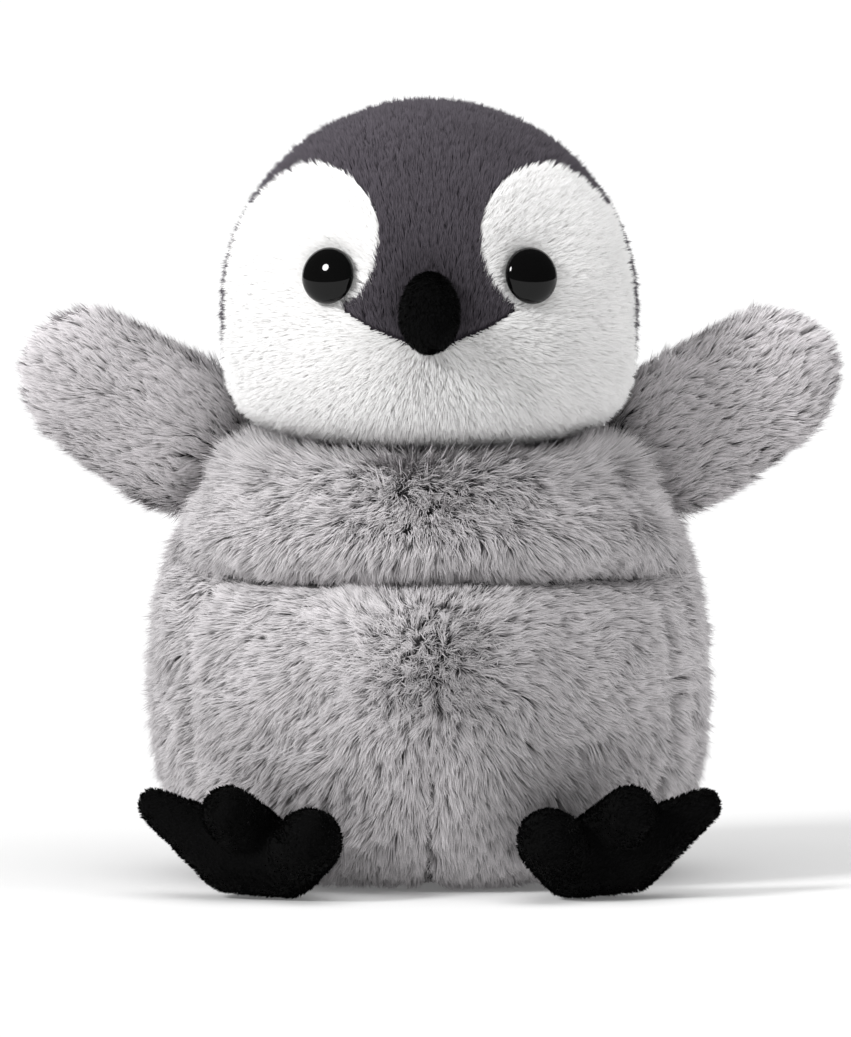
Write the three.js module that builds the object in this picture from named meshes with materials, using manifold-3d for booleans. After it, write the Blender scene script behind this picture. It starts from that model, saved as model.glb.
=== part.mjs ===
// A seated plush penguin chick, built the way the toy is sewn: fabric panels around
// separate fillings, with plastic eyes, stuffed wings, feet and tail.
// Millimetres, +Z up. The face looks along -Y, so the toy's own left is +X.
// The origin is on the floor, under the middle of the seat.
import * as THREE from 'three';
import { mergeVertices } from 'three/addons/utils/BufferGeometryUtils.js';
import Module from 'manifold-3d';

// ---------- driving dimensions ----------
const GAP = 0.3; // between touching pieces
const FABRIC = 2.4; // plush backing with the dense foot of its pile
const VELBOA = 1.4; // short-pile fabric of the beak and the feet

const BODY_DEPTH = 0.9; // depth of the body over its width
const SEAT_RADIUS = 57;
const BODY_BASE = 0.4; // lowest edge of the side panels
const BODY_RIM = 136; // height of the neck opening
const BODY_OUTLINE = [[60, BODY_BASE], [77, 14], [85.5, 36], [88, 56], [86, 82], [78.5, 108],
  [59.5, BODY_RIM]];
const FOLD_HEIGHT = 99; // where the chest panel rolls over the belly
const SIDE_SEAM_Y = -38; // front panels end here, back panels start
const POUCH_RADIUS = 46;
const POUCH_HEIGHT = 21;
const POUCH_MOUTH = 6;
const POUCH_SHOULDER = 6; // how far the pouch rounds in at its top and foot
const LINING = 1.2; // cotton of the pellet pouch

const HEAD_RADIUS = 64;
const HEAD_DEPTH = 0.93;
const HEAD_Z = 178;
const CHIN_ANGLE = 117; // polar angle where the ball tucks in to the neck
const NECK_RADIUS = 24;
const NECK_BOTTOM = 116;
const NECK_TOP = 152;
const NECK_ROOM = 1; // so the head can turn round the neck
const HEAD_TUCK = { radius: 47, z: 137.5 }; // where the ball's fabric turns in under the chin
const HEAD_OPENING = { radius: 31, z: 131 };
const CHIN_SEAM = [100, 165]; // heights that the chin seam's slit spans, from below the head
const BOWL = [[0, 107], [30, 108], [46, 117], [55.5, 132.5]]; // hollow that takes the head

const EYE_RADIUS = 9;
const EYE_HEIGHT = 5.6;
const EYE_STAND = 1; // rim of the dome above the fabric
const EYE_X = 31.3;
const EYE_Z = 190.7;
const SHANK_RADIUS = 2;
const SHANK_LENGTH = 13;
const WASHER_RADIUS = 7;
const WASHER_THICKNESS = 1.2;
const WASHER_DEPTH = 1.6; // behind the fabric, so its flat rim clears the curve

const BEAK = { width: 9.2, depth: 11.5, height: 12.4, y: -63.5, z: 180, back: -60.2 };

const WING = { x: 76, y: 12, z: 140, lift: 27.5, radius: 21, thickness: 9.5, reach: 54.5 };
const WING_SWING = [-40, -15, 10]; // degrees that the wing pocket leaves free
const WING_ROOM = 3; // between a swinging wing and the body

const FOOT_HEEL = { at: [48, -69, 11.8], radius: 11.5 };
const FOOT_TOES = [
  { at: [36.5, -92, 15.8], radius: 10.2 },
  { at: [62, -88, 25.5], radius: 8.8 },
  { at: [86, -71, 27], radius: 5.2 },
];

const TAIL = { y: 73, z: 25, lift: 14, radius: 13, thickness: 5.5, reach: 27, room: 2.3 };
const LABEL = { width: 18, length: 24, thickness: 0.9, reach: 86, z: 16, around: 24, droop: -8 };

const AROUND = 24; // facets around the body and the head

// ---------- finishes ----------
const finish = (color, roughness) => new THREE.MeshStandardMaterial({ color, roughness, metalness: 0 });
const GREY_PLUSH = () => finish(0x9d9ba1, 0.95);
const SLATE_PLUSH = () => finish(0x584f5b, 0.95);
const WHITE_PLUSH = () => finish(0xf4f3f2, 0.95);
const BLACK_VELBOA = () => finish(0x141416, 0.9);
const POLYESTER = () => finish(0xf2f2ee, 1);
const COTTON = () => finish(0xe6e1d6, 0.95);
const PELLETS = () => finish(0xdddddd, 0.5);
const EYE_PLASTIC = () => finish(0x050505, 0.08);
const WASHER_PLASTIC = () => finish(0xe8e8e8, 0.4);
const SATIN = () => finish(0xfbfbfa, 0.5);

// ---------- solids ----------
const wasm = await Module();
wasm.setup();

/** One closed shape with merged corners and outward faces, ready to cut or to show. */
function closed(geometry) {
  geometry.deleteAttribute('normal');
  geometry.deleteAttribute('uv');
  const merged = mergeVertices(geometry, 1e-3);
  const position = merged.attributes.position;
  const corner = (i) => new THREE.Vector3().fromBufferAttribute(position, i);
  const faces = [];
  let volume = 0;
  for (let i = 0; i < merged.index.count; i += 3) {
    const [a, b, c] = [0, 1, 2].map((k) => merged.index.getX(i + k));
    if (a === b || b === c || c === a) continue;
    faces.push([a, b, c]);
    volume += corner(a).dot(corner(b).cross(corner(c)));
  }
  merged.setIndex(faces.flatMap(([a, b, c]) => (volume > 0 ? [a, b, c] : [a, c, b])));
  return merged;
}

function solid(geometry) {
  const shape = closed(geometry);
  const vertProperties = new Float32Array(shape.attributes.position.array);
  const triVerts = new Uint32Array(shape.index.array);
  return new wasm.Manifold(new wasm.Mesh({ numProp: 3, vertProperties, triVerts }));
}

function geometryOf(shape) {
  const mesh = shape.getMesh();
  const geometry = new THREE.BufferGeometry();
  geometry.setAttribute('position', new THREE.BufferAttribute(new Float32Array(mesh.vertProperties), 3));
  geometry.setIndex(Array.from(mesh.triVerts));
  return geometry;
}

function piece(name, shape, material) {
  const mesh = new THREE.Mesh(geometryOf(shape), material);
  mesh.name = name;
  return mesh;
}

/** A profile of [radius, height] pairs turned about Z, with its depth squeezed. */
function turned(profile, depth = 1, around = AROUND) {
  const geometry = new THREE.LatheGeometry(profile.map(([r, z]) => new THREE.Vector2(r, z)), around);
  geometry.rotateX(Math.PI / 2);
  geometry.scale(1, depth, 1);
  return geometry;
}

/** Profile points moved across their own direction, outwards for a positive distance. */
function grown(points, distance) {
  return points.map(([r, z], i) => {
    const [r0, z0] = points[Math.max(i - 1, 0)];
    const [r1, z1] = points[Math.min(i + 1, points.length - 1)];
    const length = Math.hypot(r1 - r0, z1 - z0);
    return [r + (distance * (z1 - z0)) / length, z - (distance * (r1 - r0)) / length];
  });
}

function box(x, y, z) {
  const geometry = new THREE.BoxGeometry(x[1] - x[0], y[1] - y[0], z[1] - z[0]);
  geometry.translate((x[0] + x[1]) / 2, (y[0] + y[1]) / 2, (z[0] + z[1]) / 2);
  return solid(geometry);
}

/** A flat outline of [a, b] pairs pushed through the object, along Y or along X. */
function prism(outline, along, from, to) {
  const shape = new THREE.Shape(outline.map(([a, b]) => new THREE.Vector2(a, b)));
  const geometry = new THREE.ExtrudeGeometry(shape, { depth: to - from, bevelEnabled: false });
  geometry.translate(0, 0, from);
  const [X, Y, Z] = [0, 1, 2].map((axis) => new THREE.Vector3().setComponent(axis, 1));
  const upright = along === 'y' ? [X, Z, Y] : [Y, Z, X];
  return solid(geometry.applyMatrix4(new THREE.Matrix4().makeBasis(...upright)));
}

const mirrored = (outline) => outline.map(([x, z]) => [-x, z]);
const FAR = 400;
const SEAM = GAP / 2;
const SIDES = [['left', 1], ['right', -1]];

// ---------- wings: where they sit, so the body can leave room for them ----------
/** A stuffed paddle along +X, round at its root about the Y axis. */
function paddle({ radius, thickness, reach }, inset, around = 12) {
  const width = radius - inset;
  const geometry = new THREE.CapsuleGeometry(width, reach - radius, 4, around);
  geometry.rotateZ(-Math.PI / 2);
  geometry.translate((reach - radius) / 2, 0, 0);
  geometry.scale(1, (thickness - inset) / width, 1);
  return geometry;
}

function wingPlace(side, swing = 0) {
  const turn = new THREE.Matrix4().makeRotationY(-THREE.MathUtils.degToRad(WING.lift + swing));
  const place = new THREE.Matrix4().makeTranslation(WING.x, WING.y, WING.z).multiply(turn);
  return side > 0 ? place : new THREE.Matrix4().makeScale(-1, 1, 1).multiply(place);
}

const wingRoom = SIDES.flatMap(([, side]) => WING_SWING.map((swing) => (
  solid(paddle(WING, -WING_ROOM, 8).applyMatrix4(wingPlace(side, swing))))));

const withWingRoom = (shape) => wingRoom.reduce((left, room) => left.subtract(room), shape);

// ---------- body ----------
const bodyCurve = new THREE.SplineCurve(BODY_OUTLINE.map(([r, z]) => new THREE.Vector2(r, z)));
const bodyOutside = bodyCurve.getPoints(8).map((p) => [p.x, p.y]);
const bodyInside = grown(bodyOutside, -FABRIC);
const bodyWall = [...bodyOutside, ...bodyInside.toReversed(), bodyOutside[0]];
const bodyShell = withWingRoom(solid(turned(bodyWall, BODY_DEPTH)));

/** The whole body as one block, larger all round by the room that a neighbour needs. */
function bodyBlock(room) {
  return solid(turned([[0, BODY_BASE], ...grown(bodyOutside, room), [0, BODY_RIM]], BODY_DEPTH));
}

const front = [-FAR, SIDE_SEAM_Y - SEAM];
const rear = [SIDE_SEAM_Y + SEAM, FAR];

function bodyPanels() {
  const chest = bodyShell.intersect(box([-FAR, FAR], front, [FOLD_HEIGHT + SEAM, FAR]));
  const panels = [piece('chest_panel', chest, GREY_PLUSH())];
  for (const [name, side] of SIDES) {
    const half = side > 0 ? [SEAM, FAR] : [-FAR, -SEAM];
    const belly = bodyShell.intersect(box(half, front, [-FAR, FOLD_HEIGHT - SEAM]));
    const back = bodyShell.intersect(box(half, rear, [-FAR, FAR]));
    panels.push(piece(`belly_panel_${name}`, belly, GREY_PLUSH()));
    panels.push(piece(`back_panel_${name}`, back, GREY_PLUSH()));
  }
  return panels;
}

function seatPanel() {
  const profile = [[0, 0], [SEAT_RADIUS, 0], [SEAT_RADIUS, FABRIC], [0, FABRIC]];
  return piece('seat_panel', solid(turned(profile, BODY_DEPTH)), GREY_PLUSH());
}

function bodyStuffing() {
  const side = grown(bodyOutside, -FABRIC - GAP).slice(1, -1);
  const floor = FABRIC + GAP;
  const ceiling = floor + POUCH_HEIGHT + GAP;
  const recess = [[0, ceiling], [POUCH_RADIUS - POUCH_SHOULDER, ceiling],
    [POUCH_RADIUS + 1, floor + POUCH_HEIGHT / 2], [POUCH_RADIUS + 1, floor]];
  const profile = [...recess, [SEAT_RADIUS - 2, floor], ...side, ...BOWL.toReversed()];
  return piece('body_stuffing', withWingRoom(solid(turned(profile, BODY_DEPTH))), POLYESTER());
}

function pelletPouch() {
  const floor = FABRIC + GAP;
  const top = floor + POUCH_HEIGHT;
  const side = [[POUCH_RADIUS - POUCH_SHOULDER, floor], [POUCH_RADIUS, floor + 5], [POUCH_RADIUS, floor + 9]];
  const pouch = [[0, floor], ...side, [POUCH_RADIUS - 8, top - 1.5], [POUCH_MOUTH, top],
    [POUCH_MOUTH, top - LINING], [POUCH_RADIUS - 9, top - LINING - 2], [POUCH_RADIUS - LINING, floor + 8.5],
    [POUCH_RADIUS - LINING, floor + 5.5], [POUCH_RADIUS - 7, floor + LINING], [0, floor + LINING]];
  const inset = LINING + GAP;
  const pellets = [[0, floor + inset], [POUCH_RADIUS - 8, floor + inset], [POUCH_RADIUS - inset, floor + 6],
    [POUCH_RADIUS - inset, floor + 8], [POUCH_RADIUS - 12, top - inset - 3], [0, top - inset - 3]];
  return [
    piece('pellet_pouch', solid(turned(pouch, BODY_DEPTH, 16)), COTTON()),
    piece('pellet_filling', solid(turned(pellets, BODY_DEPTH, 16)), PELLETS()),
  ];
}

/** A folded ribbon label that stands out of the back seam panel, low beside the seat. */
function careLabel() {
  const ribbon = new THREE.BoxGeometry(LABEL.width, LABEL.length, LABEL.thickness);
  ribbon.rotateX(THREE.MathUtils.degToRad(LABEL.droop));
  ribbon.translate(0, BODY_DEPTH * LABEL.reach, LABEL.z);
  ribbon.rotateZ(THREE.MathUtils.degToRad(-LABEL.around));
  return piece('care_label', solid(ribbon).subtract(bodyBlock(GAP)), SATIN());
}

// ---------- head ----------
/** Outline of the head from its crown down to the neck opening, [radius, height] pairs. */
function headOutline(inset) {
  const radius = HEAD_RADIUS - inset;
  const steps = 8;
  const ball = Array.from({ length: steps + 1 }, (_, i) => {
    const angle = THREE.MathUtils.degToRad((CHIN_ANGLE * i) / steps);
    return [i ? radius * Math.sin(angle) : 0, HEAD_Z + radius * Math.cos(angle)];
  });
  const opening = [HEAD_OPENING.radius - inset / 2, HEAD_OPENING.z + inset];
  const tuck = [HEAD_TUCK.radius - inset, HEAD_TUCK.z + inset * 0.7];
  return [...ball, tuck, opening];
}

const headShell = solid(turned([...headOutline(0), ...headOutline(FABRIC).reverse()], HEAD_DEPTH));

// Upper edge of the white mask, from the side of the head over the eye to the beak.
const MASK_EDGE = [[70, 208], [56, 216], [47, 221.5], [38, 224], [27, 222.5], [18.5, 215.5], [15.2, 205],
  [16.5, 192], [20.5, 184.5], [26.5, 179.5], [17, 173], [6.5, 168.8], [0, 166]];
const maskOutline = new THREE.SplineCurve(MASK_EDGE.slice(0, 10).map(([x, z]) => new THREE.Vector2(x, z)))
  .getPoints(20).map((p) => [p.x, p.y]).concat(MASK_EDGE.slice(10));

/** Edge between face and hood, seen from the side: it runs back below the ear. */
const HOOD_EDGE = [[-9, FAR], [-9, 172], [-3, 160], [12, 148], [22, 120]];

const HOOD_FOOT = HOOD_EDGE.at(-1)[1];
const faceSide = (shift) => [[-FAR, FAR], ...HOOD_EDGE.map(([y, z]) => [y - shift, z]), [-FAR, HOOD_FOOT]];
const hoodSide = (shift) => [[FAR, FAR], ...HOOD_EDGE.map(([y, z]) => [y + shift, z]), [FAR, HOOD_FOOT]];

/** Everything below the mask's upper edge on one side of the chin seam, grown by an amount. */
function maskSide(side, amount) {
  const edge = grown(maskOutline, amount).map(([x, z]) => [Math.max(x, SEAM), z]);
  const outline = [...edge, [SEAM, CHIN_SEAM[0]], [FAR, CHIN_SEAM[0]], [FAR, edge[0][1]]];
  return prism(side > 0 ? outline : mirrored(outline), 'y', -FAR, FAR);
}

const eyeForward = Math.sqrt(HEAD_RADIUS ** 2 - EYE_X ** 2 - (EYE_Z - HEAD_Z) ** 2);
const eyeSeat = new THREE.Vector3(EYE_X, -HEAD_DEPTH * eyeForward, EYE_Z);
const eyeNormal = new THREE.Vector3(EYE_X, -eyeForward / HEAD_DEPTH, EYE_Z - HEAD_Z).normalize();

/** A turned shape set on the face, its height measured outwards from the head's surface. */
function atEye(profile, side, around = 12) {
  const geometry = turned(profile, 1, around);
  const turn = new THREE.Quaternion().setFromUnitVectors(new THREE.Vector3(0, 0, 1), eyeNormal);
  geometry.applyQuaternion(turn).translate(eyeSeat.x, eyeSeat.y, eyeSeat.z);
  return geometry.scale(side, 1, 1);
}

const rod = (radius, from, to) => [[0, from], [radius, from], [radius, to], [0, to]];

function headPanels() {
  const face = headShell.intersect(prism(faceSide(SEAM), 'x', -FAR, FAR));
  const hood = headShell.intersect(prism(hoodSide(SEAM), 'x', -FAR, FAR));
  let forehead = face;
  const panels = [];
  for (const [name, side] of SIDES) {
    const shankHole = solid(atEye(rod(SHANK_RADIUS + GAP, -10, 5), side));
    const cheek = face.intersect(maskSide(side, -SEAM)).subtract(shankHole);
    forehead = forehead.subtract(maskSide(side, SEAM));
    const half = side > 0 ? [SEAM, FAR] : [-FAR, -SEAM];
    panels.push(piece(`cheek_panel_${name}`, cheek, WHITE_PLUSH()));
    panels.push(piece(`hood_panel_${name}`, hood.intersect(box(half, [-FAR, FAR], [0, FAR])), SLATE_PLUSH()));
  }
  const chinSeam = box([-1, 1], [-FAR, FAR], CHIN_SEAM);
  panels.push(piece('forehead_panel', forehead.subtract(chinSeam), SLATE_PLUSH()));
  return panels;
}

function headStuffing() {
  const outline = headOutline(FABRIC + GAP);
  const ball = solid(turned([...outline, [0, outline.at(-1)[1]]], HEAD_DEPTH));
  let filling = ball.subtract(solid(turned(rod(NECK_RADIUS + NECK_ROOM, NECK_BOTTOM, NECK_TOP))));
  for (const [, side] of SIDES) {
    filling = filling.subtract(solid(atEye(rod(WASHER_RADIUS + 1, -SHANK_LENGTH - 1, 0), side)));
  }
  return piece('head_stuffing', filling, POLYESTER());
}

function eye(name, side) {
  const dome = [0, 20, 40, 60, 75, 90].map((degrees) => {
    const angle = THREE.MathUtils.degToRad(degrees);
    return [EYE_RADIUS * Math.sin(angle), EYE_STAND + EYE_HEIGHT * Math.cos(angle)];
  });
  const profile = [...dome, [EYE_RADIUS - 0.6, EYE_STAND / 2], [SHANK_RADIUS, EYE_STAND / 2],
    [SHANK_RADIUS, -SHANK_LENGTH], [0, -SHANK_LENGTH]];
  return piece(`eye_${name}`, solid(atEye(profile, side, 16)), EYE_PLASTIC());
}

function eyeWasher(name, side) {
  const low = -FABRIC - WASHER_DEPTH - WASHER_THICKNESS;
  const profile = [[SHANK_RADIUS + GAP, low], [WASHER_RADIUS, low], [WASHER_RADIUS, low + WASHER_THICKNESS],
    [SHANK_RADIUS + GAP, low + WASHER_THICKNESS], [SHANK_RADIUS + GAP, low]];
  return piece(`eye_washer_${name}`, solid(atEye(profile, side)), WASHER_PLASTIC());
}

function egg(inset) {
  const geometry = new THREE.SphereGeometry(1, 14, 9);
  geometry.scale(BEAK.width - inset, BEAK.depth - inset, BEAK.height - inset);
  geometry.translate(0, BEAK.y, BEAK.z);
  return solid(geometry);
}

function beak() {
  const infront = box([-FAR, FAR], [-FAR, BEAK.back], [0, FAR]);
  return [
    piece('beak_cover', egg(0).subtract(egg(VELBOA)).intersect(infront), BLACK_VELBOA()),
    piece('beak_stuffing', egg(VELBOA + GAP).intersect(infront), POLYESTER()),
  ];
}

function neckStuffing() {
  const profile = [[0, NECK_BOTTOM], [NECK_RADIUS - 4, NECK_BOTTOM], [NECK_RADIUS, NECK_BOTTOM + 4],
    [NECK_RADIUS, NECK_TOP - GAP], [0, NECK_TOP - GAP]];
  return piece('neck_stuffing', solid(turned(profile)), POLYESTER());
}

// ---------- wings and tail: two panels around a filling ----------
/** Panels on the two sides of the seam plane y = 0, and the filling between them. */
function stuffedPaddle(size) {
  const outside = solid(paddle(size, 0));
  const shell = outside.subtract(solid(paddle(size, FABRIC)));
  return {
    front: shell.intersect(box([-FAR, FAR], [-FAR, -SEAM], [-FAR, FAR])),
    back: shell.intersect(box([-FAR, FAR], [SEAM, FAR], [-FAR, FAR])),
    filling: solid(paddle(size, FABRIC + GAP)),
  };
}

function placed(shape, matrix) {
  return solid(geometryOf(shape).applyMatrix4(matrix));
}

function wing(name, side) {
  const parts = stuffedPaddle(WING);
  const place = wingPlace(side);
  return [
    piece(`wing_front_panel_${name}`, placed(parts.front, place), GREY_PLUSH()),
    piece(`wing_back_panel_${name}`, placed(parts.back, place), GREY_PLUSH()),
    piece(`wing_stuffing_${name}`, placed(parts.filling, place), POLYESTER()),
  ];
}

function tail() {
  const parts = stuffedPaddle(TAIL);
  const lie = new THREE.Matrix4().makeBasis(
    new THREE.Vector3(0, 1, 0), new THREE.Vector3(0, 0, 1), new THREE.Vector3(1, 0, 0));
  const lift = new THREE.Matrix4().makeRotationX(THREE.MathUtils.degToRad(TAIL.lift));
  const place = new THREE.Matrix4().makeTranslation(0, TAIL.y, TAIL.z).multiply(lift).multiply(lie);
  const outsideBody = (part) => placed(part, place).subtract(bodyBlock(TAIL.room));
  return [
    piece('tail_lower_panel', outsideBody(parts.front), GREY_PLUSH()),
    piece('tail_upper_panel', outsideBody(parts.back), GREY_PLUSH()),
    piece('tail_stuffing', outsideBody(parts.filling), POLYESTER()),
  ];
}

// ---------- feet: a heel and toes, sole and upper sewn along the toes' middle ----------
/** A round toe that tapers from one ball to another, set between two points. */
function toe(from, to, inset) {
  const start = new THREE.Vector3(...from.at);
  const end = new THREE.Vector3(...to.at);
  const length = start.distanceTo(end);
  const [r0, r1] = [from.radius - inset, to.radius - inset];
  const lean = Math.asin((r0 - r1) / length);
  const arc = (radius, height, first, last) => [0, 1, 2].map((i) => {
    const angle = first + ((last - first) * i) / 2;
    const across = radius * Math.cos(angle);
    return [across < 1e-6 ? 0 : across, height + radius * Math.sin(angle)];
  });
  const profile = [...arc(r0, 0, -Math.PI / 2, lean), ...arc(r1, length, lean, Math.PI / 2)];
  const turn = new THREE.Quaternion().setFromUnitVectors(
    new THREE.Vector3(0, 0, 1), end.clone().sub(start).normalize());
  return solid(turned(profile, 1, 8).applyQuaternion(turn).translate(start.x, start.y, start.z));
}

function footSolid(inset) {
  const aboveFloor = box([-FAR, FAR], [-FAR, FAR], [GAP + inset, FAR]);
  const toes = FOOT_TOES.map((tip) => toe(FOOT_HEEL, tip, inset));
  return toes.reduce((all, next) => all.add(next)).intersect(aboveFloor);
}

/** The half of space above the foot's seam plane, or below it, clear of the seam. */
function aboveSeam(shift) {
  const [heel, inner, outer] = [FOOT_HEEL, FOOT_TOES[0], FOOT_TOES[2]].map((p) => new THREE.Vector3(...p.at));
  const up = inner.clone().sub(heel).cross(outer.clone().sub(heel)).normalize();
  if (up.z < 0) up.negate();
  const turn = new THREE.Quaternion().setFromUnitVectors(new THREE.Vector3(0, 0, 1), up);
  const geometry = new THREE.BoxGeometry(FAR, FAR, FAR).translate(0, 0, FAR / 2 + shift);
  return solid(geometry.applyQuaternion(turn).translate(heel.x, heel.y, heel.z));
}

function foot(name, side) {
  const shell = footSolid(0).subtract(footSolid(VELBOA));
  const parts = {
    foot_upper: [shell.intersect(aboveSeam(SEAM)), BLACK_VELBOA()],
    foot_sole: [shell.subtract(aboveSeam(-SEAM)), BLACK_VELBOA()],
    foot_stuffing: [footSolid(VELBOA + GAP), POLYESTER()],
  };
  const place = new THREE.Matrix4().makeScale(side, 1, 1);
  return Object.entries(parts).map(([part, [shape, material]]) => (
    piece(`${part}_${name}`, placed(shape, place), material)));
}

// ---------- the toy ----------
const penguin = new THREE.Group();
penguin.name = 'plush_penguin';
penguin.add(...bodyPanels(), seatPanel(), bodyStuffing(), ...pelletPouch(), careLabel());
penguin.add(neckStuffing(), ...headPanels(), headStuffing(), ...beak());
for (const [name, side] of SIDES) {
  penguin.add(eye(name, side), eyeWasher(name, side), ...wing(name, side), ...foot(name, side));
}
penguin.add(...tail());

export default penguin;
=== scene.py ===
"""Seated plush penguin chick: stuffed covers, combed pile, glossy eyes and soft black feet.

Shapes are worked out in millimetres and stored in metres, in the shared frame: +Z up, the
face along -Y, the toy's own left on +X.
"""

import math

import bmesh
import bpy
import numpy as np
from mathutils import Matrix, Vector
from mathutils.bvhtree import BVHTree
from mathutils.kdtree import KDTree


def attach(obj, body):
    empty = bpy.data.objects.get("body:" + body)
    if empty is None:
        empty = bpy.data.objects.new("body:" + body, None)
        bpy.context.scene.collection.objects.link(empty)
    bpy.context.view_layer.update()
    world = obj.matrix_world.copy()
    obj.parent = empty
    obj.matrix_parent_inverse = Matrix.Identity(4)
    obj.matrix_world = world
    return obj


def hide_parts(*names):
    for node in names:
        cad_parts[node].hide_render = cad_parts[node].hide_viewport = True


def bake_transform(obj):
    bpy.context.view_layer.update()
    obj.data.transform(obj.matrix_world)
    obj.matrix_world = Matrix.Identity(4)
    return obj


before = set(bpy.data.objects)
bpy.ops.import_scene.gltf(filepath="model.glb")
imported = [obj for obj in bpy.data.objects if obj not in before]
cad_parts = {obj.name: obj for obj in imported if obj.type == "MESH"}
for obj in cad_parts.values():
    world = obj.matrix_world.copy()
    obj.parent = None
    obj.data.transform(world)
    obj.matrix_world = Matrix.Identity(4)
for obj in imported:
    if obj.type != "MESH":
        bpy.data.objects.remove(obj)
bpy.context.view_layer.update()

MM = 0.001
SIDES = (("left", 1), ("right", -1))

# Stuffed covers lie below the tips of their pile by about this much.
BODY_PROFILE = ((0, 1.6), (38, 1.6), (55, 2.0), (65, 6.5), (74.5, 16), (82, 36), (84.5, 56),
                (82.5, 82), (79.5, 96), (76.5, 106), (68, 121), (58.5, 131.5), (50, 132.5),
                (38, 127), (0, 122))
BODY_DEPTH = 0.9
FOLD_Z = 99
SEAM_Y = -38
SWIRL = Vector((-1.6, 0, 77))
THROAT = Vector((-4, 0, 152))

HEAD_RADIUS = 62.8
HEAD_DEPTH = 0.93
HEAD_Z = 178
HEAD_FOOT = ((62.3, 168), (61.2, 158), (58.6, 150.5), (54.5, 145.5), (48, 142), (30, 138), (0, 136.5))

WING_PIVOT = Vector((76, 12, 140))
WING_LIFT = 27.5
WING_SIZE = {"radius": 20, "thickness": 7.6, "reach": 52, "droop": 0.45}
TAIL_ROOT = Vector((0, 73, 25))
TAIL_LIFT = 14
TAIL_SIZE = {"radius": 10.5, "thickness": 4, "reach": 23.5, "droop": 0}

HEAD_PANELS = ("forehead_panel", "hood_panel_left", "hood_panel_right", "cheek_panel_left",
               "cheek_panel_right")

HEEL = ((48, -69, 11.8), 10.8)
BALL = ((43.5, -80, 11.4), 10.4)
SOLE = ((61, -75, 13.2), 11.2)
TOES = (((36.8, -92, 19.2), 9.9), ((61.5, -88, 27.4), 8.3), ((84.5, -71, 28.2), 5.3))


# ---------- finishes ----------
class Wire:
    """A value flowing through a finish, which adds and multiplies like a number."""

    def __init__(self, tree, socket):
        self.tree = tree
        self.socket = socket

    def math(self, operation, *values):
        node = self.tree.nodes.new("ShaderNodeMath")
        node.operation = operation
        for inlet, value in zip(node.inputs, values):
            plug(self.tree, inlet, value)
        return Wire(self.tree, node.outputs[0])

    def __add__(self, other):
        return self.math("ADD", self, other)

    def __sub__(self, other):
        return self.math("SUBTRACT", self, other)

    def __rsub__(self, other):
        return self.math("SUBTRACT", other, self)

    def __mul__(self, other):
        return self.math("MULTIPLY", self, other)

    def __pow__(self, other):
        return self.math("POWER", self, other)

    __radd__ = __add__
    __rmul__ = __mul__


def plug(tree, inlet, value):
    if isinstance(value, Wire):
        tree.links.new(value.socket, inlet)
    elif isinstance(value, (tuple, list)) and len(value) == 3 and inlet.type == "RGBA":
        inlet.default_value = (*value, 1)
    else:
        inlet.default_value = value


class Finish:
    """A material under construction around one shader."""

    def __init__(self, name, **settings):
        self.material = bpy.data.materials.new(name)
        self.material.use_nodes = True
        self.tree = self.material.node_tree
        self.shader = self.tree.nodes["Principled BSDF"]
        for setting, value in settings.items():
            inlet = setting.replace("_", " ").title().replace("Ior", "IOR")
            plug(self.tree, self.shader.inputs[inlet], value)

    def node(self, kind, settings=None, values=None, outlet=0):
        """Any node by its type, with its settings and the values of its sockets."""
        node = self.tree.nodes.new(kind)
        for setting, value in (settings or {}).items():
            setattr(node, setting, value)
        for socket, value in (values or {}).items():
            plug(self.tree, node.inputs[socket], value)
        return Wire(self.tree, node.outputs[outlet])

    def place(self):
        return self.node("ShaderNodeTexCoord", outlet="Object")

    def noise(self, scale, detail=2, where=None):
        values = {"Vector": where or self.place(), "Scale": scale, "Detail": detail}
        return self.node("ShaderNodeTexNoise", values=values, outlet="Fac")

    def mix(self, share, first, second):
        values = {0: share, 6: first, 7: second}
        return self.node("ShaderNodeMix", {"data_type": "RGBA"}, values, outlet=2)

    def drive(self, inlet, value):
        plug(self.tree, self.shader.inputs[inlet], value)

    def bump(self, height, distance, strength=0.6):
        values = {"Height": height, "Distance": distance, "Strength": strength}
        self.drive("Normal", self.node("ShaderNodeBump", values=values))


def pile_finish(name, root, middle, tip, spread, sheen=0.04):
    """Pile that lightens from root to tip, each strand in its own shade."""
    finish = Finish(name, roughness=0.9, specular_ior_level=0.1, sheen_weight=sheen,
                    sheen_roughness=0.6)
    strand = finish.node("ShaderNodeUVMap", {"uv_map": "OFBake"})
    shade = finish.node("ShaderNodeSeparateXYZ", values={0: strand}, outlet="X")
    along = finish.node("ShaderNodeSeparateXYZ", values={0: strand}, outlet="Y")
    # Darker towards the root: painted shade down among the strands.
    lower = finish.mix(along * 2, root, middle)
    whole = finish.mix(along * 2 - 1, lower, tip)
    patch = finish.noise(45) * 0.16 + 0.92
    strength = (shade * spread + (1 - spread / 2)) * patch
    scaled = finish.node("ShaderNodeVectorMath", {"operation": "SCALE"}, {0: whole, "Scale": strength})
    finish.drive("Base Color", scaled)
    return finish.material


def knit_finish(name, dark, light, sheen=0.2):
    """Knitted backing that the pile grows from."""
    finish = Finish(name, roughness=0.95, specular_ior_level=0.1, sheen_weight=sheen)
    loops = finish.noise(1600, 3)
    finish.drive("Base Color", finish.mix(loops, dark, light))
    finish.bump(loops, 0.0003)
    return finish.material


def plastic_finish(name, dark, light, roughness, grain):
    finish = Finish(name, roughness=roughness, specular_ior_level=0.24)
    cloud = finish.noise(grain)
    finish.drive("Base Color", finish.mix(cloud, dark, light))
    finish.drive("Roughness", cloud * 0.04 + roughness)
    return finish.material


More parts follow.
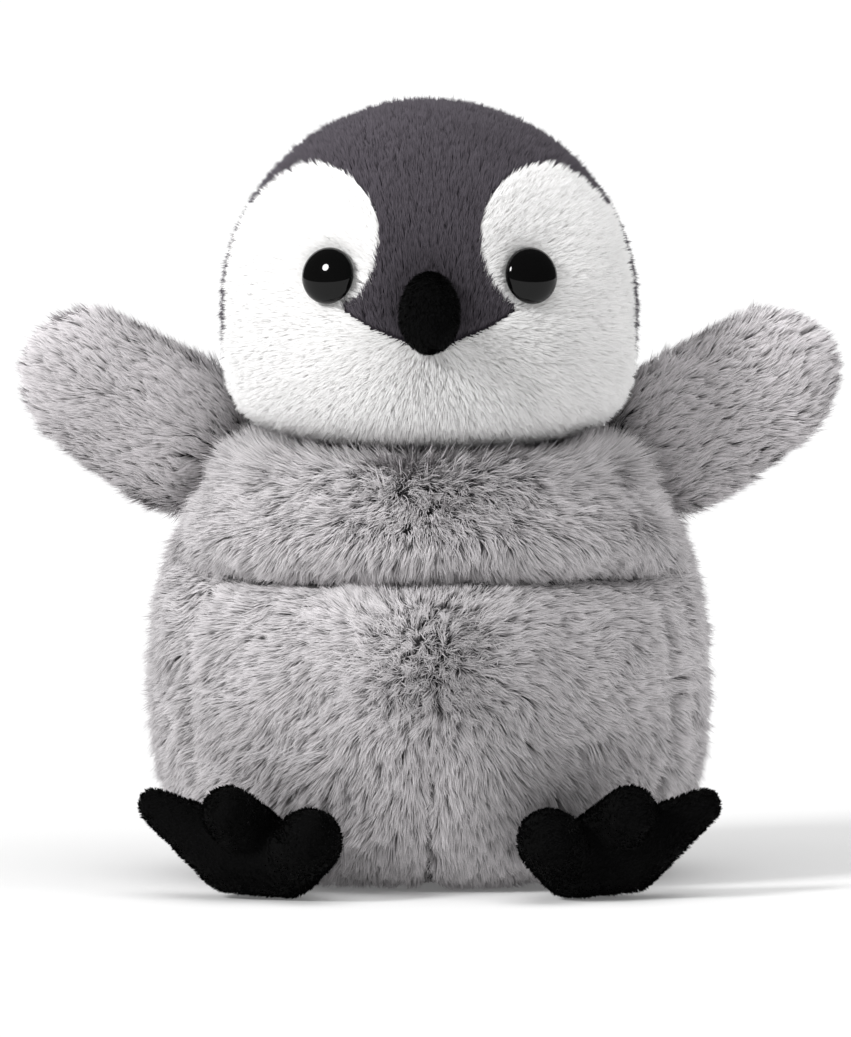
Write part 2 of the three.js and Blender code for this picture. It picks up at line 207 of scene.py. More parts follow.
GREY_PILE = pile_finish("grey plush pile", (0.22, 0.211, 0.216), (0.48, 0.461, 0.471), (0.8, 0.772, 0.786), 0.36)
SLATE_PILE = pile_finish("slate plush pile", (0.03, 0.026, 0.032), (0.06, 0.053, 0.063), (0.098, 0.088, 0.103), 0.5)
WHITE_PILE = pile_finish("white plush pile", (0.86, 0.85, 0.84), (0.93, 0.925, 0.92), (0.97, 0.965, 0.96), 0.03, sheen=0.25)
BLACK_PILE = pile_finish("black velboa pile", (0.0005, 0.0005, 0.0005), (0.001, 0.001, 0.0011),
                         (0.003, 0.003, 0.0035), 0.6, sheen=0.012)
GREY_KNIT = knit_finish("grey knitted backing", (0.07, 0.067, 0.07), (0.13, 0.125, 0.13))
SLATE_KNIT = knit_finish("slate knitted backing", (0.01, 0.008, 0.011), (0.03, 0.025, 0.033))
WHITE_KNIT = knit_finish("white knitted backing", (0.84, 0.83, 0.82), (0.94, 0.935, 0.93))
BLACK_KNIT = knit_finish("black velboa", (0.0005, 0.0005, 0.0005), (0.002, 0.002, 0.002), sheen=0.005)


# ---------- covers ----------
def object_of(name, form, material):
    """A new piece from a bmesh drawn in millimetres."""
    bmesh.ops.recalc_face_normals(form, faces=form.faces)
    bmesh.ops.scale(form, vec=(MM, MM, MM), verts=form.verts)
    mesh = bpy.data.meshes.new(name)
    form.to_mesh(mesh)
    form.free()
    mesh.shade_smooth()
    mesh.materials.append(material)
    piece = bpy.data.objects.new(name, mesh)
    bpy.context.scene.collection.objects.link(piece)
    return piece


def spun(profile, steps=48, depth=1):
    """A profile of (radius, height) pairs turned about Z, closed at both poles."""
    form = bmesh.new()
    line = [form.verts.new((radius, 0, height)) for radius, height in profile]
    edges = [form.edges.new(pair) for pair in zip(line, line[1:])]
    bmesh.ops.spin(form, geom=line + edges, axis=(0, 0, 1), cent=(0, 0, 0), steps=steps,
                   angle=math.tau, use_merge=True)
    bmesh.ops.remove_doubles(form, verts=form.verts, dist=0.01)
    bmesh.ops.scale(form, vec=(1, depth, 1), verts=form.verts)
    return form


def settled(piece, *modifiers):
    """The piece with modifiers of the given type and settings worked in to its mesh."""
    for kind, settings in modifiers:
        modifier = piece.modifiers.new(kind.title(), kind)
        for setting, value in settings.items():
            setattr(modifier, setting, value)
    graph = bpy.context.evaluated_depsgraph_get()
    mesh = bpy.data.meshes.new_from_object(piece.evaluated_get(graph), depsgraph=graph)
    piece.modifiers.clear()
    piece.data = mesh
    mesh.shade_smooth()
    return piece


def remeshed(size):
    return "REMESH", {"mode": "VOXEL", "voxel_size": size * MM, "use_smooth_shade": True}


def refined(levels=1):
    return "SUBSURF", {"levels": levels, "render_levels": levels}


def smoothed(times):
    return "SMOOTH", {"factor": 0.5, "iterations": times}


def points_of(mesh):
    co = np.empty(len(mesh.vertices) * 3)
    mesh.vertices.foreach_get("co", co)
    return co.reshape(-1, 3) / MM


def move_points(mesh, points):
    mesh.vertices.foreach_set("co", (points * MM).ravel())
    mesh.update()


def bell(distance, width):
    return np.exp(-((distance / width) ** 2))


def step(low, high, value):
    """0 below low, 1 above high and smooth between."""
    t = np.clip((value - low) / (high - low), 0, 1)
    return t * t * (3 - 2 * t)


def pull_in(piece, pull):
    """Moves the cover's points against their normals by pull(points), in millimetres."""
    mesh = piece.data
    normals = np.empty(len(mesh.vertices) * 3)
    mesh.vertices.foreach_get("normal", normals)
    points = points_of(mesh)
    move_points(mesh, points - normals.reshape(-1, 3) * pull(points)[:, None])


def stuff(piece, held, give):
    """Presses the filling against the cover, which is held where held(points) is near 1."""
    before = points_of(piece.data)
    hold = piece.vertex_groups.new(name="seams")
    for index, share in enumerate(held(before)):
        hold.add([index], float(share), "REPLACE")
    cloth = piece.modifiers.new("Cloth", "CLOTH")
    cloth.settings.quality = 4
    cloth.settings.mass = 0.2
    cloth.settings.tension_stiffness = 25
    cloth.settings.compression_stiffness = 25
    cloth.settings.bending_stiffness = 0.6
    cloth.settings.use_pressure = True
    cloth.settings.uniform_pressure_force = 4
    cloth.settings.vertex_group_mass = "seams"
    cloth.settings.effector_weights.gravity = 0
    cloth.collision_settings.use_collision = False
    cloth.collision_settings.use_self_collision = False
    scene = bpy.context.scene
    for moment in range(1, 21):
        scene.frame_set(moment)
    graph = bpy.context.evaluated_depsgraph_get()
    after = points_of(piece.evaluated_get(graph).data)
    piece.modifiers.clear()
    piece.vertex_groups.clear()
    scene.frame_set(1)
    moved = after - before
    far = np.linalg.norm(moved, axis=1, keepdims=True)
    move_points(piece.data, before + moved * np.minimum(1, give / np.maximum(far, 1e-9)))


def body_cover():
    piece = object_of("body_cover", spun(BODY_PROFILE, depth=BODY_DEPTH), GREY_KNIT)
    settled(piece, refined(2), remeshed(3.4), smoothed(2))

    def fold(p):
        front = step(-6, -44, p[:, 1])
        wave = 1.2 * np.sin(p[:, 0] / 17) + 0.8 * np.sin(p[:, 0] / 7.3)
        return front * bell(p[:, 2] - FOLD_Z - wave, 3.4)

    def side_seam(p):
        return bell(p[:, 1] - SEAM_Y, 2.6) * step(1, 8, p[:, 2]) * step(104, 92, p[:, 2])

    def middle_seam(p):
        low = step(60, 40, p[:, 2]) * (p[:, 1] < 0) + (p[:, 1] > 0)
        return bell(p[:, 0], 2.4) * low * step(1, 6, p[:, 2])

    def seat(p):
        return step(6, 2, p[:, 2]) + step(124, 130, p[:, 2])

    def held(p):
        return np.clip(fold(p) + side_seam(p) + middle_seam(p) + seat(p), 0, 1)

    def seams(p):
        front = step(-6, -44, p[:, 1])
        roll = 4.4 * bell(p[:, 2] - FOLD_Z - 9, 7.5) - 1.6 * bell(p[:, 2] - FOLD_Z + 8, 6)
        return 12.5 * fold(p) + 2.2 * side_seam(p) + 3 * middle_seam(p) - front * roll

    pull_in(piece, seams)
    stuff(piece, held, 4)
    return settled(piece, smoothed(1))


def head_cover():
    ball = [(HEAD_RADIUS * math.sin(a), HEAD_Z + HEAD_RADIUS * math.cos(a))
            for a in np.radians(np.arange(0, 91, 10))]
    profile = (*ball, *HEAD_FOOT)
    piece = object_of("head_cover", spun(profile, depth=HEAD_DEPTH), WHITE_KNIT)
    settled(piece, refined(2), remeshed(2.8), smoothed(2))

    def dimples(p):
        reach = [np.linalg.norm(p - np.array(eye_seat(side)), axis=1) for _, side in SIDES]
        return bell(np.minimum(*reach), 11)

    def chin_seam(p):
        return bell(p[:, 0], 1.8) * (p[:, 1] < 0) * step(172, 164, p[:, 2])

    def held(p):
        return np.clip(dimples(p) + chin_seam(p) + step(146, 142, p[:, 2]), 0, 1)

    def seams(p):
        return 4.2 * dimples(p) + 0.8 * chin_seam(p)

    pull_in(piece, seams)
    stuff(piece, held, 1.5)
    settled(piece, refined())
    piece.data.materials.append(SLATE_KNIT)
    faces = piece.data.polygons
    middles = np.empty(len(faces) * 3)
    faces.foreach_get("center", middles)
    dark = nearest_panel(middles.reshape(-1, 3) / MM, HEAD_PANELS) < 3
    faces.foreach_set("material_index", dark.astype(np.int32))
    return piece


def paddle(name, size, place):
    """A stuffed paddle along +X, round at its root, sewn in the plane of its edge."""
    radius, reach = size["radius"], size["reach"]
    root = [(-radius * math.cos(a), radius * math.sin(a)) for a in np.radians(np.arange(0, 90, 15))]
    end = [(reach - radius * (1 - math.cos(a)), radius * math.sin(a)) for a in np.radians(np.arange(90, -1, -15))]
    form = spun([(max(r, 0), x) for x, r in (*root, *end)], steps=32)
    bmesh.ops.transform(form, matrix=Matrix.Rotation(math.pi / 2, 4, "Y"), verts=form.verts)
    bmesh.ops.scale(form, vec=(1, size["thickness"] / radius, 1), verts=form.verts)
    for corner in form.verts:
        if corner.co.z < 0:
            corner.co.z *= 1 + size["droop"] * float(step(reach, -radius, corner.co.x))
    piece = object_of(name, form, GREY_KNIT)
    settled(piece, refined(1), remeshed(2.2), smoothed(2))
    stuff(piece, lambda p: bell(p[:, 1], 1.6) * (abs(p[:, 1]) < 3), 2.5)
    settled(piece, refined())
    piece.data.transform(Matrix.Scale(MM, 4).inverted())
    piece.data.transform(Matrix.Scale(MM, 4) @ place)
    return piece


def wing_place(side):
    lift = Matrix.Rotation(-side * math.radians(WING_LIFT), 4, "Y")
    turn = Matrix.Rotation(0 if side > 0 else math.pi, 4, "Z")
    return Matrix.Translation((side * WING_PIVOT.x, WING_PIVOT.y, WING_PIVOT.z)) @ lift @ turn


def tail_place():
    lie = Matrix(((0, 0, 1, 0), (1, 0, 0, 0), (0, 1, 0, 0), (0, 0, 0, 1)))
    return Matrix.Translation(TAIL_ROOT) @ Matrix.Rotation(math.radians(TAIL_LIFT), 4, "X") @ lie


def foot_cover(name, side):
    """Three stuffed toes from one heel, joined by a web."""
    form = bmesh.new()

    def hull(*balls):
        made = []
        for at, radius in balls:
            place = Matrix.Translation((side * at[0], at[1], at[2]))
            ball = bmesh.ops.create_uvsphere(form, u_segments=20, v_segments=12, radius=radius, matrix=place)
            made.extend(ball["verts"])
        wrap = bmesh.ops.convex_hull(form, input=made, use_existing_faces=False)
        inside = [g for g in wrap["geom_interior"] if isinstance(g, bmesh.types.BMVert)]
        bmesh.ops.delete(form, geom=inside, context="VERTS")

    hull(HEEL, BALL, SOLE)
    hull(BALL, TOES[0])
    hull(HEEL, TOES[1])
    hull(SOLE, TOES[2])
    heel = Vector(HEEL[0])
    for first, second in zip(TOES, TOES[1:]):
        web = [(tuple(heel.lerp(Vector(at), 0.5)), radius * 0.55) for at, radius in (first, second)]
        hull((tuple(heel), HEEL[1] * 0.8), *web)
    piece = object_of(name, form, BLACK_KNIT)
    settled(piece, remeshed(1.3), smoothed(3), refined())
    return piece


# ---------- eyes ----------
def eye_axis(side):
    name = "left" if side > 0 else "right"
    corners = np.array([v.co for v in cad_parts[f"eye_{name}"].data.vertices]) / MM
    middle = np.array((0, 0, HEAD_Z))
    reach = np.linalg.norm(corners - middle, axis=1)
    top = corners[reach.argmax()]
    end = corners[reach < reach.min() + 0.6].mean(axis=0)
    return Vector(end), Vector(top - end).normalized()


def eye_seat(side):
    end, axis = eye_axis(side)
    return end + axis * 13


# ---------- pile ----------
def ripple(points, size, seed):
    """Smooth unevenness between about -1 and 1, in patches of the given size."""
    rng = np.random.default_rng(seed)
    total = np.zeros(len(points))
    for _ in range(5):
        way = rng.normal(size=3)
        way /= np.linalg.norm(way) * size / rng.uniform(0.7, 1.5)
        total += np.sin(points @ way * math.tau / 2 + rng.uniform(0, math.tau))
    return total / 3


def unit(vectors):
    return vectors / np.maximum(np.linalg.norm(vectors, axis=1, keepdims=True), 1e-9)


def scatter(cover, per_mm2, rng):
    """Random points on the cover with their normals."""
    mesh = cover.data
    mesh.calc_loop_triangles()
    corner = np.empty(len(mesh.loop_triangles) * 3, np.int32)
    mesh.loop_triangles.foreach_get("vertices", corner)
    corner = corner.reshape(-1, 3)
    normals = np.empty(len(mesh.vertices) * 3)
    mesh.vertices.foreach_get("normal", normals)
    points = points_of(mesh)[corner]
    normals = normals.reshape(-1, 3)[corner]
    area = np.linalg.norm(np.cross(points[:, 1] - points[:, 0], points[:, 2] - points[:, 0]), axis=1) / 2
    count = np.floor(area * per_mm2 + rng.random(len(area))).astype(int)
    pick = np.repeat(np.arange(len(area)), count)
    a, b = rng.random((2, len(pick)))
    flip = a + b > 1
    a[flip], b[flip] = 1 - a[flip], 1 - b[flip]
    share = np.stack((1 - a - b, a, b), axis=1)[:, :, None]
    return (points[pick] * share).sum(axis=1), unit((normals[pick] * share).sum(axis=1))


def nearest_panel(points, names):
    """Index of the sewn panel that each point lies on."""
    reach = np.empty((len(names), len(points)))
    spots = [Vector(p) for p in points * MM]
    for row, name in enumerate(names):
        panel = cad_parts[name].data
        faces = [tuple(face.vertices) for face in panel.polygons]
        tree = BVHTree.FromPolygons([v.co for v in panel.vertices], faces)
        reach[row] = [tree.find_nearest(spot)[3] for spot in spots]
    return reach.argmin(axis=0)


def tufts(points, spacing, per_mm2, rng):
    """For each strand the middle of its tuft, and the tuft's number."""
    some = max(2, int(len(points) / (per_mm2 * spacing ** 2)))
    seeds = points[rng.choice(len(points), some, replace=False)]
    tree = KDTree(some)
    for index, seed in enumerate(seeds):
        tree.insert(seed, index)
    tree.balance()
    home = np.array([tree.find(p)[1] for p in points])
    return seeds[home], home


def grow(name, material, points, normals, comb, length, lean, width, rng, per_mm2,
         tuft=2.2, gather=0.3, stray=0.16, shade=None, roll=0):
    """Strands of pile as narrow blades that bend over along the comb direction."""
    count = len(points)
    comb = unit(comb - normals * (comb * normals).sum(axis=1, keepdims=True))
    middle, home = tufts(points, tuft, per_mm2, rng)
    tuft_way = rng.normal(size=(home.max() + 1, 3))[home]
    comb = unit(comb + (rng.normal(size=(count, 3)) + tuft_way) * 0.7 * stray)
    tuft_long = rng.uniform(0.86, 1.1, home.max() + 1)[home]
    tuft_shade = rng.uniform(-0.09, 0.09, home.max() + 1)[home]
    length = (length * tuft_long * rng.uniform(0.82, 1.08, count))[:, None]
    lean = (np.radians(lean) + rng.normal(size=count) * 0.1)[:, None]
    rise = np.cos(lean * 0.7) * normals + np.sin(lean * 0.7) * comb
    bow = np.cos(np.minimum(lean * 1.25, 1.45)) * normals + np.sin(np.minimum(lean * 1.25, 1.45)) * comb
    draw = middle - points + tuft_way * length * 0.1
    draw -= normals * (draw * normals).sum(axis=1, keepdims=True)
    root = points - normals * 0.4
    bend = root + rise * length * 0.5 + draw * gather * 0.5
    tip = bend + bow * length * 0.5 + draw * gather * 0.7
    across = unit(np.cross(comb, normals) + rng.normal(size=(count, 3)) * 0.3)
    half = (np.asarray(width) * rng.uniform(0.75, 1.2, count) / 2)[:, None]
    spots = np.stack((root - across * half, root + across * half, bend - across * half * 0.85,
                      bend + across * half * 0.85, tip), axis=1)
    spots[:, :, 2] = np.maximum(spots[:, :, 2], 0.15)
    facing = unit(np.cross(across, tip - root))
    facing *= np.sign((facing * normals).sum(axis=1, keepdims=True))
    shine = unit(facing * 0.3 + normals * 0.7 + comb * roll + rng.normal(size=(count, 3)) * 0.06)
    shade = np.full(count, 0.5) if shade is None else shade
    shade = np.clip(shade + tuft_shade + rng.normal(size=count) * 0.16, 0.03, 0.97)

    mesh = bpy.data.meshes.new(name)
    mesh.vertices.add(count * 5)
    mesh.loops.add(count * 7)
    mesh.polygons.add(count * 2)
    mesh.vertices.foreach_set("co", (spots * MM).ravel())
    order = np.array((0, 1, 3, 2, 2, 3, 4))
    mesh.loops.foreach_set("vertex_index", (np.arange(count)[:, None] * 5 + order).ravel())
    mesh.polygons.foreach_set("loop_start", (np.arange(count)[:, None] * 7 + np.array((0, 4))).ravel())
    mesh.update(calc_edges=True)
    mesh.shade_smooth()
    layer = mesh.uv_layers.new(name="OFBake")
    side = np.array((-1, 1, 1, -1, -1, 1, 0)) * 0.012
    high = np.array((0, 0, 0.5, 0.5, 0.5, 0.5, 1))
    uv = np.stack(np.broadcast_arrays(shade[:, None] + side, high), axis=2)
    layer.data.foreach_set("uv", uv.ravel())
    mesh.normals_split_custom_set_from_vertices(np.repeat(shine, 5, axis=0))
    mesh.materials.append(material)
    piece = bpy.data.objects.new(name, mesh)
    bpy.context.scene.collection.objects.link(piece)
    return piece


def column(*parts):
    return np.stack(np.broadcast_arrays(*parts), axis=1).astype(float)


def body_comb(p):
    """Comb direction and lean of the body's pile."""
    x, y, z = p.T
    chest = step(FOLD_Z - 1, FOLD_Z + 1, z)
    around = np.hypot(x - SWIRL.x, z - SWIRL.z)
    belly_way = column((x - SWIRL.x) / (around + 1), 0, (z - SWIRL.z) / (around + 1) - 0.18)
    drop = np.hypot(x - THROAT.x, z - THROAT.z)
    chest_way = column((x - THROAT.x) / (drop + 1), 0, (z - THROAT.z) / (drop + 1) - 0.1)
    front_way = belly_way * (1 - chest)[:, None] + chest_way * chest[:, None]
    side_way = column(0.2 * np.sign(x), 0.55, -0.5)
    back_way = column(0.25 * np.sign(x), 0.1, -1)
    to_side = step(-60, -14, y)[:, None]
    to_back = step(10, 45, y)[:, None]
    way = front_way * (1 - to_side) + side_way * to_side
    way = way * (1 - to_back) + back_way * to_back
    belly_lean = 24 + 34 * step(4, 42, around)
    chest_lean = 42 + 14 * step(8, 50, drop)
    lean = belly_lean * (1 - chest) + chest_lean * chest
    lean = lean * (1 - to_side[:, 0]) + 54 * to_side[:, 0]
    loose = bell(around, 17) * (1 - chest) + 0.7 * bell(drop, 26) * chest
    return way, lean + 7 * ripple(p, 22, 5), 0.16 + 1.2 * (loose * (1 - to_side[:, 0]))[:, None]


def grow_body(cover):
    rng = np.random.default_rng(11)
    per_mm2 = 5
    points, normals = scatter(cover, per_mm2, rng)
    thinned = 0.26 * step(-36, -26, points[:, 1]) + 0.5 * step(14, 32, points[:, 1])
    thinned = np.maximum(thinned, 0.85 * step(3, 1, points[:, 2]))
    keep = rng.random(len(points)) < 1 - thinned
    points, normals = points[keep], normals[keep]
    panels = ["chest_panel", "belly_panel_left", "belly_panel_right", "back_panel_left",
              "back_panel_right", "seat_panel"]
    owner = nearest_panel(points, panels)
    hidden = (points[:, 2] > 122) & (np.hypot(points[:, 0], points[:, 1] / BODY_DEPTH) < 35)
    for row, panel in enumerate(panels):
        mine = (owner == row) & ~hidden
        p, n = points[mine], normals[mine]
        way, lean, stray = body_comb(p)
        length = 8.6 * (1 + 0.1 * ripple(p, 14, 3))
        shoulder = step(122, 130, p[:, 2]) * step(28, 50, np.abs(p[:, 0]))
        length = length * (1 - 0.35 * step(16, 4, p[:, 2])) * (1 + 0.45 * shoulder)
        lean = lean * (1 - 0.5 * shoulder)
        front = step(-6, -44, p[:, 1])
        seam = front * bell(p[:, 2] - FOLD_Z + 3, 4) + bell(p[:, 0], 1.6) * step(50, 40, p[:, 2])
        seam += 0.8 * bell(p[:, 1] - SEAM_Y, 1.6) * step(104, 92, p[:, 2])
        length = length * (1 - 0.8 * np.clip(seam, 0, 1))
        if panel == "seat_panel":
            length, lean = np.full(len(p), 2.5), np.full(len(p), 80.0)
        shade = 0.5 + 0.12 * ripple(p, 30, 8) + 0.12 * step(0, 30, p[:, 1])
        name = panel.replace("panel", "pile")
        piece = grow(name, GREY_PILE, p, n, way + 0.35 * column(ripple(p, 9, 1), ripple(p, 9, 2), ripple(p, 9, 4)),
                     length, lean, 0.36 + 0.24 * step(10, 30, p[:, 1]), rng, per_mm2, shade=shade, stray=stray, roll=0.5)
        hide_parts(panel)
        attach(piece, "torso")


def grow_head(cover):
    rng = np.random.default_rng(12)
    per_mm2 = 7
    points, normals = scatter(cover, per_mm2, rng)
    rear = step(0, 12, points[:, 1])
    open_side = (points[:, 2] > 150) | (np.hypot(points[:, 0], points[:, 1]) > 34)
    keep = open_side & (rng.random(len(points)) < 1 - 0.62 * rear)
    points, normals = points[keep], normals[keep]
    outer = step(36, 60, np.abs(points[:, 0]))
    corner = step(-30, -8, points[:, 1]) ** 2
    edge_shift = (1.6 + 3.6 * outer) * step(190, 206, points[:, 2]) - 1.6 * step(183, 173, points[:, 2])
    edge_shift += 16 * corner * step(170, 196, points[:, 2])
    side_shift = (10 * bell(points[:, 2] - 178, 20) - 5) * bell(points[:, 1] + 6, 16)
    owner = nearest_panel(points + column(0, side_shift, edge_shift), HEAD_PANELS)
    for row, panel in enumerate(HEAD_PANELS):
        mine = owner == row
        p, n = points[mine], normals[mine]
        x, y, z = p.T
        if panel.startswith("cheek"):
            way = column(x, (y + 62) * 0.3, z - 172)
            way = unit(way) + np.array((0, 0, -0.15))
            lean = 26 + 7 * ripple(p, 12, 21)
            length = 4.9 + 0 * x
            material, slot, shade = WHITE_PILE, "white_plush", 0.5 + 0 * x
        else:
            over = column(0, z - HEAD_Z, -y) / HEAD_RADIUS
            way = over + column(0.1 * np.sign(x), 0.35, -0.3) * ((x / HEAD_RADIUS) ** 2)[:, None]
            lean = 44 + 5 * ripple(p, 12, 22)
            length = 4.8 + 0 * x
            by_beak = np.hypot(x / 10, (z - 180) / 13) + (y > 0)
            # The slate darkens in a ring round the beak: painted shade under the beak's rim.
            shade = 0.55 + 0.15 * ripple(p, 18, 6) - 0.5 * bell(by_beak - 0.9, 0.5)
            material, slot = SLATE_PILE, "slate_plush"
        near_eye = np.minimum(*[np.linalg.norm(p - np.array(eye_seat(side)), axis=1) for _, side in SIDES])
        clear = near_eye > 7.5
        length = length * (0.75 + 0.25 * step(8, 15, near_eye))
        under_beak = (np.abs(x) < 6) & (np.abs(z - 180) < 8) & (y < 0)
        clear &= ~under_beak
        name = panel.replace("panel", "pile")
        piece = grow(name, material, p[clear], n[clear], way[clear], length[clear], lean[clear],
                     0.28 + 0.15 * step(0, 12, y[clear]), rng, per_mm2, tuft=1.4, gather=0.16, shade=shade[clear])
        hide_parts(panel)
        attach(piece, "head")


def grow_neck():
    """A short collar of pile, so that the neck stays covered when the head nods."""
    rng = np.random.default_rng(16)
    p, n = scatter(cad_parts["neck_stuffing"], 2.5, rng)
    side = (np.abs(n[:, 2]) < 0.6) & (p[:, 2] > 122)
    p, n = p[side], n[side]
    lean = 48 + 5 * ripple(p, 10, 61)
    piece = grow("neck_pile", GREY_PILE, p, n, column(0 * p[:, 0], 0, -1), 4 + 0 * p[:, 0], lean, 0.6, rng, 2.5)
    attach(piece, "neck")


def grow_wing(cover, name, side):
    rng = np.random.default_rng(13)
    per_mm2 = 5.5
    points, normals = scatter(cover, per_mm2, rng)
    out = Vector((side * math.cos(math.radians(WING_LIFT)), 0, math.sin(math.radians(WING_LIFT))))
    pivot = np.array((side * WING_PIVOT.x, WING_PIVOT.y, WING_PIVOT.z))
    owner = nearest_panel(points, [f"wing_front_panel_{name}", f"wing_back_panel_{name}"])
    for row, face in enumerate(("front", "back")):
        mine = owner == row
        p, n = points[mine], normals[mine]
        along = (p - pivot) @ np.array(out)
        way = np.array(out)[None, :] + 0.25 * column(ripple(p, 10, 31), ripple(p, 10, 32), ripple(p, 10, 33))
        lean = 52 - 12 * step(30, 52, along) + 6 * ripple(p, 14, 34)
        length = 7.6 + 0.6 * ripple(p, 12, 35)
        # The wing pile's lighter shade than the body's is painted light, for the light its top catches; the ripple
        # is tone at random.
        shade = 0.74 + 0.12 * ripple(p, 16, 36)
        piece = grow(f"wing_{face}_pile_{name}", GREY_PILE, p, n, way, length, lean, 0.4, rng, per_mm2, shade=shade)
        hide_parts(f"wing_{face}_panel_{name}")
        bend_wing(piece)


def bend_wing(piece):
    """Works the piece's placement into its mesh; it is attached to no body."""
    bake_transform(piece)


def grow_tail(cover):
    rng = np.random.default_rng(14)
    per_mm2 = 3
    points, normals = scatter(cover, per_mm2, rng)
    owner = nearest_panel(points, ["tail_upper_panel", "tail_lower_panel"])
    for row, face in enumerate(("upper", "lower")):
        mine = owner == row
        p, n = points[mine], normals[mine]
        way = column(0.3 * p[:, 0] / 10, 1, -0.1)
        piece = grow(f"tail_{face}_pile", GREY_PILE, p, n, way, 6 + 0 * p[:, 0], 52 + 0 * p[:, 0], 0.55, rng,
                     per_mm2)
        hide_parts(f"tail_{face}_panel")
        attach(piece, "tail")


def grow_velboa(cover, name, body, per_mm2, down):
    rng = np.random.default_rng(15)
    p, n = scatter(cover, per_mm2, rng)
    way = np.broadcast_to(np.array(down, float), p.shape) + 0.3 * column(ripple(p, 7, 1), ripple(p, 7, 2), ripple(p, 7, 3))
    piece = grow(name, BLACK_PILE, p, n, way, 1.7 + 0.25 * ripple(p, 5, 41), 38 + 0 * p[:, 0], 0.42, rng,
                 per_mm2, tuft=1.2, gather=0.3)
    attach(piece, body)
    return piece


# ---------- small pieces ----------
def make_eye(name, side):
    """A glossy dome on its shank."""
    dome = [(8.9 * math.sin(a), 4.6 * math.cos(a)) for a in np.radians(np.arange(0, 91, 9))]
    profile = [*dome, (8.6, -0.4), (7, -0.5), (2, -0.5), (2, -12.9), (0, -13)]
    form = spun(profile, steps=48)
    end, axis = eye_axis(side)
    turn = Vector((0, 0, 1)).rotation_difference(axis).to_matrix().to_4x4()
    bmesh.ops.transform(form, matrix=Matrix.Translation(end + axis * 13) @ turn, verts=form.verts)
    piece = object_of(f"eye_dome_{name}", form, EYE_GLOSS)
    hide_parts(f"eye_{name}")
    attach(piece, "head")


def make_beak():
    egg = [(9.2 * math.sin(a) ** 0.92 * (1 + 0.07 * math.cos(a)), -12.4 * math.cos(a))
           for a in np.radians(np.arange(0, 181, 12))]
    form = spun([(0 if r < 0.01 else r, z) for r, z in egg], steps=32)
    bmesh.ops.scale(form, vec=(1, 1.2, 1), verts=form.verts)
    middle = Vector((0, -63.5, 180))
    bmesh.ops.translate(form, vec=middle, verts=form.verts)
    piece = object_of("beak_pad", form, BLACK_KNIT)
    settled(piece, refined(), remeshed(1.4), smoothed(2))
    stuff(piece, lambda p: step(-60, -57, p[:, 1]), 0.8)
    settled(piece, refined())
    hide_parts("beak_stuffing")
    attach(piece, "head")
    pile = grow_velboa(piece, "beak_pile", "head", 7, (0, -0.2, -1))
    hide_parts("beak_cover")


def make_label():
    """A blank satin ribbon folded in two, sewn in at the back."""
    form = bmesh.new()
    made = bmesh.ops.create_grid(form, x_segments=8, y_segments=56, size=0.5)
    width, length, gap = 17, 44, 0.5
    bmesh.ops.scale(form, vec=(width, length, 1), verts=form.verts)
    for corner in form.verts:
        x, along, _ = corner.co
        past = abs(along) - math.pi * gap / 2
        turn = along / gap
        reach = -past if past > 0 else math.cos(turn) * gap
        rise = math.copysign(gap, along) if past > 0 else math.sin(turn) * gap
        corner.co = (x, reach + 20, rise + 0.6 * math.sin(x / 5) * step(-22, 0, reach))
    lean = Matrix.Rotation(math.radians(-8), 4, "X")
    round_body = Matrix.Rotation(math.radians(-24), 4, "Z")
    place = round_body @ Matrix.Translation((0, 72.5, 17)) @ lean
    bmesh.ops.transform(form, matrix=place, verts=form.verts)
    piece = object_of("care_label_ribbon", form, SATIN)
    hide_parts("care_label")
    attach(piece, "torso")


EYE_GLOSS = plastic_finish("polished eye plastic", (0.0015, 0.0015, 0.0015), (0.003, 0.003, 0.003), 0.03, 40)
SATIN = knit_finish("blank satin ribbon", (0.82, 0.81, 0.8), (0.93, 0.93, 0.92))

body = body_cover()
head = head_cover()
wings = {name: paddle(f"wing_cover_{name}", WING_SIZE, wing_place(side)) for name, side in SIDES}
tail = paddle("tail_cover", TAIL_SIZE, tail_place())

grow_body(body)
grow_head(head)
grow_tail(tail)
grow_neck()
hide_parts("body_stuffing")
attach(body, "torso")
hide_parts("head_stuffing")
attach(head, "head")
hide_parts("tail_stuffing")
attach(tail, "tail")
for name, side in SIDES:
    grow_wing(wings[name], name, side)
    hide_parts(f"wing_stuffing_{name}")
    bend_wing(wings[name])
    make_eye(name, side)
    foot = foot_cover(f"foot_pad_{name}", side)
    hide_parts(f"foot_stuffing_{name}")
    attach(foot, f"foot_{name}")
    pile = grow_velboa(foot, f"foot_pile_{name}", f"foot_{name}", 3, (0.5 * side, -0.7, 0.3))
    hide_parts(f"foot_upper_{name}", f"foot_sole_{name}")
make_beak()
make_label()

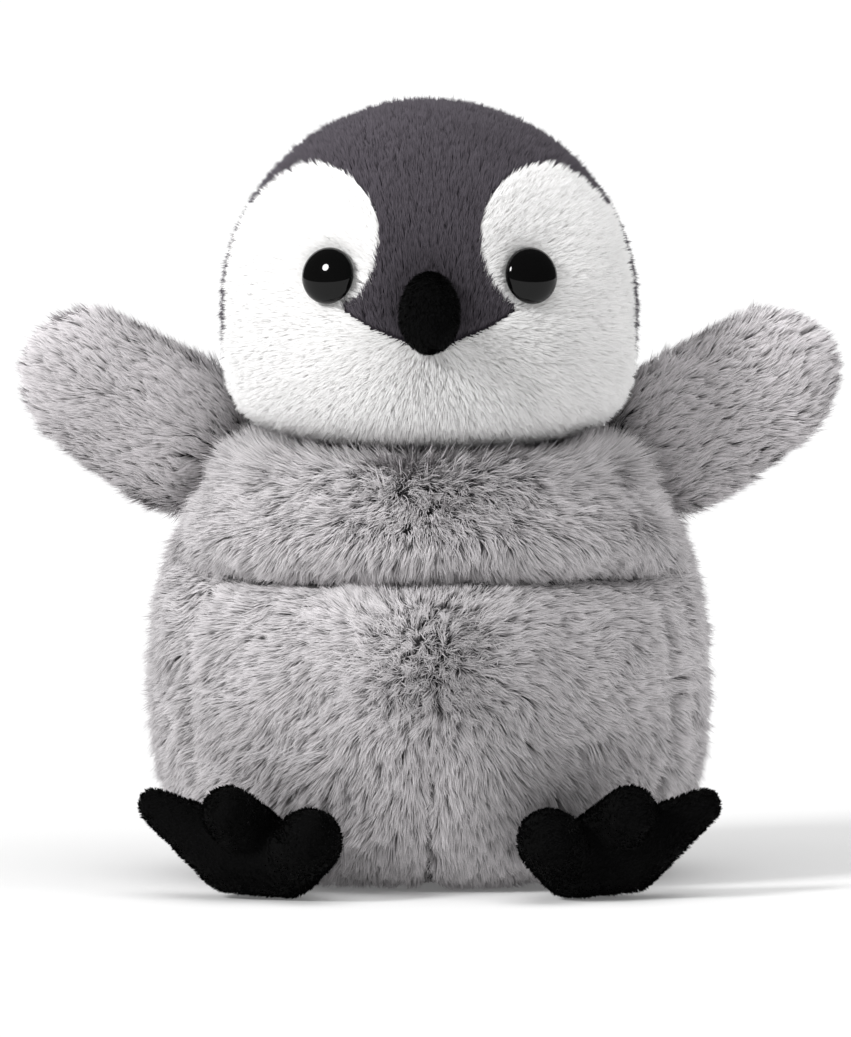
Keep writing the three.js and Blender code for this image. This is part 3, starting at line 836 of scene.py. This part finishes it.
# ---------- pieces kept from the frame, all inside the covers ----------
INNER = {
    "pellet_pouch": knit_finish("pouch cotton", (0.7, 0.65, 0.56), (0.85, 0.81, 0.73)),
    "pellet_filling": plastic_finish("plastic pellets", (0.6, 0.6, 0.6), (0.75, 0.75, 0.75), 0.5, 300),
    "neck_stuffing": GREY_KNIT,
    "eye_washer_left": plastic_finish("moulded washer", (0.75, 0.75, 0.75), (0.85, 0.85, 0.85), 0.4, 200),
}
INNER["eye_washer_right"] = INNER["eye_washer_left"]
for node, material in INNER.items():
    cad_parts[node].data.materials.clear()
    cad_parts[node].data.materials.append(material)

# ---------- camera, floor and light ----------
scene = bpy.context.scene
scene.view_settings.view_transform = "Standard"


def looking(name, data, place, target):
    holder = bpy.data.objects.new(name, data)
    scene.collection.objects.link(holder)
    holder.location = place
    holder.rotation_euler = (Vector(target) - Vector(place)).to_track_quat("-Z", "Y").to_euler()
    return holder


camera = bpy.data.cameras.new("camera")
camera.sensor_fit = "VERTICAL"
camera.sensor_height = 36
camera.sensor_width = 36
camera.lens = 499.5
camera.clip_end = 30
aim = Vector((-0.00125, 0, 0.112))
back = Vector((0, -math.cos(math.radians(4)), math.sin(math.radians(4))))
scene.camera = looking("camera", camera, aim + back * 4.5, aim)


def far_lamp(name, direction, spread, strength, mirrored):
    """A large lamp so far away that it lights the floor evenly; spread is its width in degrees."""
    lamp = bpy.data.lights.new(name, "SUN")
    lamp.angle = math.radians(spread)
    lamp.energy = strength
    holder = looking(name, lamp, direction, (0, 0, 0))
    holder.visible_glossy = mirrored
    return holder


far_lamp("key light", (-0.76, -0.6, 0.55), 14, 2.52, True)
far_lamp("top light", (0.1, -0.2, 1.3), 60, 1.6, False)
far_lamp("fill light", (0.8, -0.7, 0.3), 30, 0.5, False)

floor = bmesh.new()
bmesh.ops.create_grid(floor, x_segments=2, y_segments=2, size=20000)
paper = Finish("studio paper", roughness=0.9, specular_ior_level=0, emission_color=(1, 1, 1),
               emission_strength=0.12)
paper.drive("Base Color", paper.mix(paper.noise(3), (0.7, 0.7, 0.7), (0.72, 0.72, 0.72)))
object_of("studio_floor", floor, paper.material)

world = bpy.data.worlds.new("studio")
world.use_nodes = True
backdrop = world.node_tree.nodes["Background"]
backdrop.inputs["Color"].default_value = (1, 1, 1, 1)
rays = world.node_tree.nodes.new("ShaderNodeLightPath").outputs
seen = Wire(world.node_tree, rays["Is Camera Ray"])
mirrored = Wire(world.node_tree, rays["Is Glossy Ray"])
plug(world.node_tree, backdrop.inputs["Strength"], seen * 0.64 + 0.38 - mirrored * 0.3)
scene.world = world
